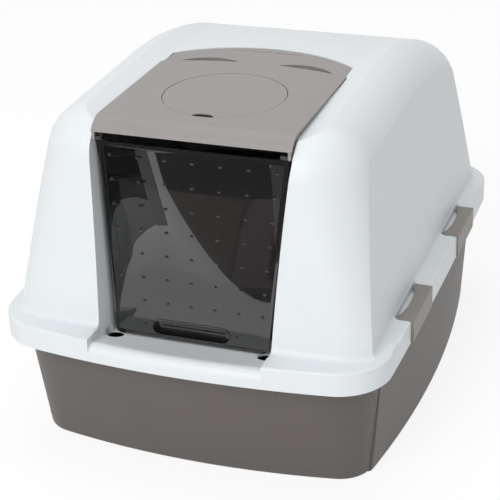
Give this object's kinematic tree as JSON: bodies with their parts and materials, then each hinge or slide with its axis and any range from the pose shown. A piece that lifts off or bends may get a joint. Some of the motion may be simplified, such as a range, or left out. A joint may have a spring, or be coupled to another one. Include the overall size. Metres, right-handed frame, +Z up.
{
  "type": "covered litter box",
  "caption": "Hooded cat litter box: grey pan, white hood with a lifting front cover, a smoky swing flap, a round filter lid, a carry handle and side clips.",
  "frame": {"origin": "centre of the box that holds the object, on the plane that it stands on", "axes": "+X to the object's right seen from the front, +Y to the rear, +Z up"},
  "size_m": [0.4432, 0.5849, 0.3835],
  "materials": {
    "hood_white": "satin",
    "pan_grey": "satin",
    "cover_grey": "satin",
    "clip_grey": "satin",
    "smoke_clear": "polished",
    "tray_black": "satin",
    "carbon_felt": "felt",
    "steel": "drawn"
  },
  "bodies": {
    "pan_body": {"pan": "pan_grey"},
    "hood_body": {"hood": "hood_white", "carry_handle": "cover_grey", "handle_screws": "steel"},
    "cover_body": {"front_cover": "cover_grey", "cover_pin_left": "steel", "cover_pin_right": "steel", "flap_pin_left": "steel", "flap_pin_right": "steel", "filter_tray": "tray_black", "filter_pad": "carbon_felt"},
    "flap_body": {"door_flap": "smoke_clear"},
    "lid_body": {"filter_lid": "cover_grey"},
    "clip_front_left_body": {"clip_front_left": "clip_grey", "clip_pins_front_left": "steel"},
    "clip_front_right_body": {"clip_front_right": "clip_grey", "clip_pins_front_right": "steel"},
    "clip_rear_left_body": {"clip_rear_left": "clip_grey", "clip_pins_rear_left": "steel"},
    "clip_rear_right_body": {"clip_rear_right": "clip_grey", "clip_pins_rear_right": "steel"}
  },
  "joints": [
    {"name": "hood_lift", "type": "slide", "parent": "pan_body", "child": "hood_body", "axis": [0, 0, 1], "range_m": [0, 0.25]},
    {"name": "cover_hinge", "type": "hinge", "parent": "hood_body", "child": "cover_body", "pos_m": [0, -0.038, 0.371], "axis": [-1, 0, 0], "range_deg": [0, 95]},
    {"name": "flap_hinge", "type": "hinge", "parent": "cover_body", "child": "flap_body", "pos_m": [0, -0.2115, 0.357], "axis": [1, 0, 0], "range_deg": [-75, 65]},
    {"name": "lid_lift", "type": "slide", "parent": "cover_body", "child": "lid_body", "axis": [0, 0, 1], "range_m": [0, 0.025]},
    {"name": "clip_front_left_hinge", "type": "hinge", "parent": "hood_body", "child": "clip_front_left_body", "pos_m": [-0.2036, -0.11, 0.1559], "axis": [0, 1, 0], "range_deg": [0, 95]},
    {"name": "clip_front_right_hinge", "type": "hinge", "parent": "hood_body", "child": "clip_front_right_body", "pos_m": [0.2036, -0.11, 0.1559], "axis": [0, -1, 0], "range_deg": [0, 95]},
    {"name": "clip_rear_left_hinge", "type": "hinge", "parent": "hood_body", "child": "clip_rear_left_body", "pos_m": [-0.2036, 0.105, 0.1559], "axis": [0, 1, 0], "range_deg": [0, 95]},
    {"name": "clip_rear_right_hinge", "type": "hinge", "parent": "hood_body", "child": "clip_rear_right_body", "pos_m": [0.2036, 0.105, 0.1559], "axis": [0, -1, 0], "range_deg": [0, 95]}
  ]
}
